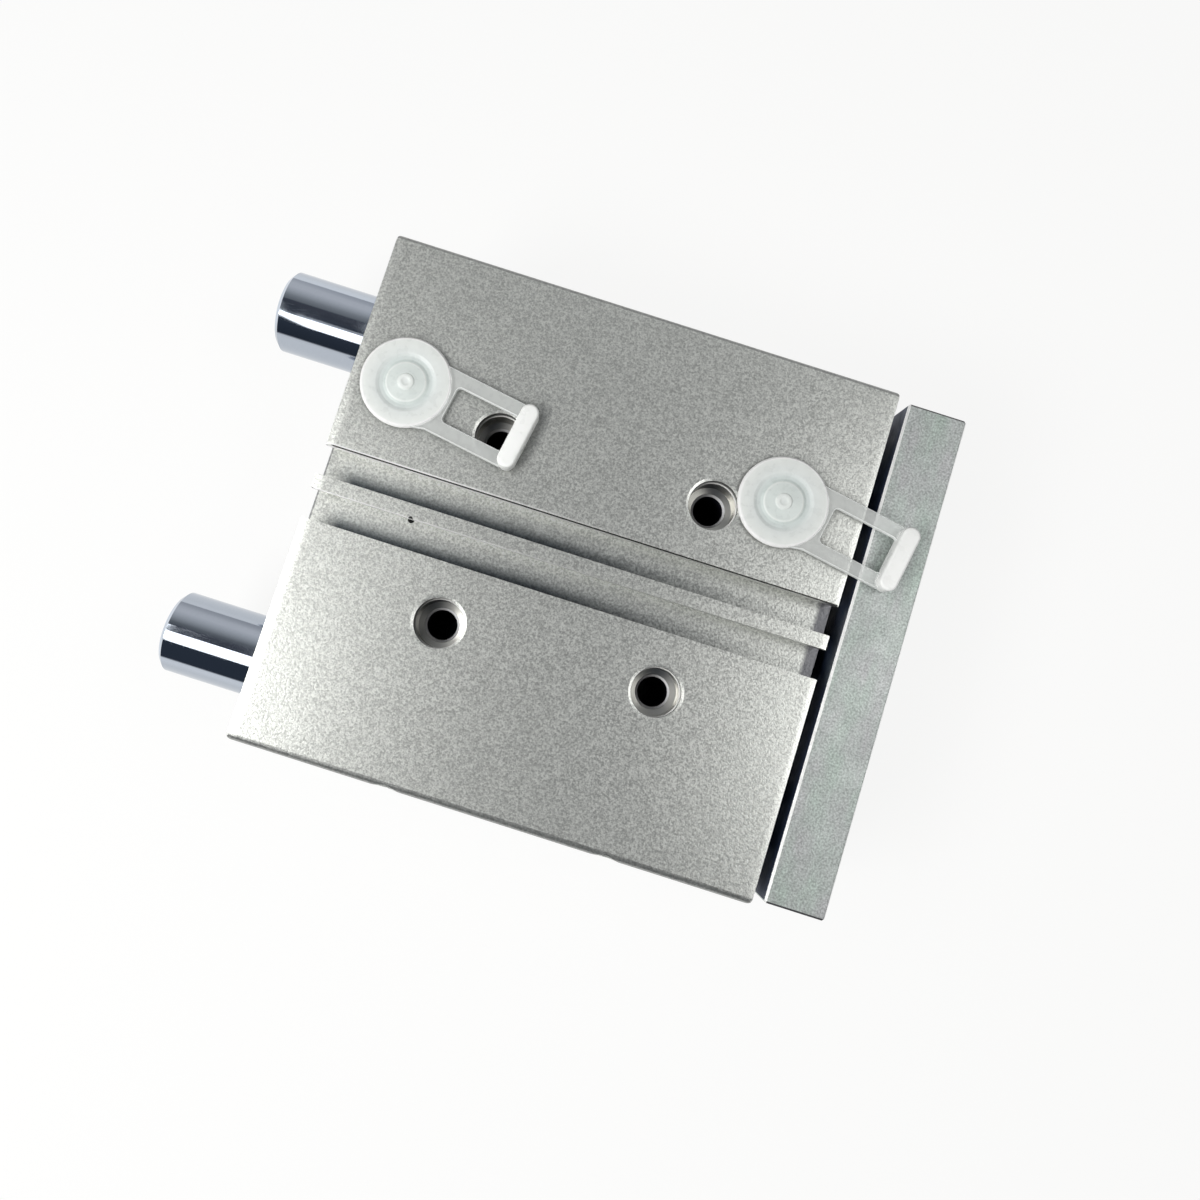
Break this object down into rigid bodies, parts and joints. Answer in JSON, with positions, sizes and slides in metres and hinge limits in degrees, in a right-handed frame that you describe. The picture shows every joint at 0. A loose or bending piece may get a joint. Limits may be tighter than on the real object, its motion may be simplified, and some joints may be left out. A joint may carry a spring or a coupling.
{
  "type": "guided pneumatic cylinder",
  "caption": "Compact guided air cylinder: slotted aluminium block, twin guide rods and piston rod driving a yoke plate, with plugged air ports.",
  "frame": {"origin": "centre of the pattern of mounting holes on the underside of the housing", "axes": "+X is the way the yoke extends, +Z points out of the face with the air ports and sensor slots, Y runs across the guide rods"},
  "size_m": [0.1303, 0.095, 0.0453],
  "materials": {
    "housing_anodised": "bead-blasted, clear anodised",
    "cap_aluminium": "turned, clear anodised",
    "seal_rubber": "nitrile rubber",
    "seal_polymer": "polyurethane, dark",
    "spring_steel": "phosphated spring steel",
    "bush_bronze": "sintered bronze",
    "cushion_polymer": "elastomer",
    "yoke_steel": "ground, galvanised steel",
    "screw_steel": "zinc-plated steel",
    "rod_chrome": "hardened, ground and polished steel",
    "magnet_polymer": "plastic-bonded ferrite",
    "wear_polymer": "filled polymer",
    "plug_plastic": "translucent white polyethylene"
  },
  "bodies": {
    "housing": {"housing": "housing_anodised", "front_bearing_cap": "cap_aluminium", "front_cap_oring": "seal_rubber", "front_retaining_ring": "spring_steel", "rod_bush": "bush_bronze", "rod_seal": "seal_polymer", "front_cushion": "cushion_polymer", "rear_end_cap": "cap_aluminium", "rear_cap_oring": "seal_rubber", "rear_retaining_ring": "spring_steel", "rear_cushion": "cushion_polymer", "left_front_bush": "bush_bronze", "right_front_bush": "bush_bronze", "left_inner_bush": "bush_bronze", "right_inner_bush": "bush_bronze", "left_wiper": "seal_polymer", "right_wiper": "seal_polymer"},
    "yoke": {"yoke_plate": "yoke_steel", "guide_rod_screws": "screw_steel", "piston_rod_screw": "screw_steel", "left_guide_rod": "rod_chrome", "right_guide_rod": "rod_chrome", "piston_rod": "rod_chrome", "piston": "cap_aluminium", "piston_seals": "seal_polymer", "piston_magnet": "magnet_polymer", "wear_ring": "wear_polymer", "piston_nut": "screw_steel"},
    "rear_plug": {"rear_port_plug": "plug_plastic"},
    "front_plug": {"front_port_plug": "plug_plastic"}
  },
  "joints": [
    {"name": "yoke_slide", "type": "slide", "parent": "housing", "child": "yoke", "axis": [1, 0, 0], "range_m": [0, 0.05]},
    {"name": "rear_plug_pull", "type": "slide", "parent": "housing", "child": "rear_plug", "axis": [0, 0, 1], "range_m": [0, 0.012]},
    {"name": "front_plug_pull", "type": "slide", "parent": "housing", "child": "front_plug", "axis": [0, 0, 1], "range_m": [0, 0.012]}
  ]
}
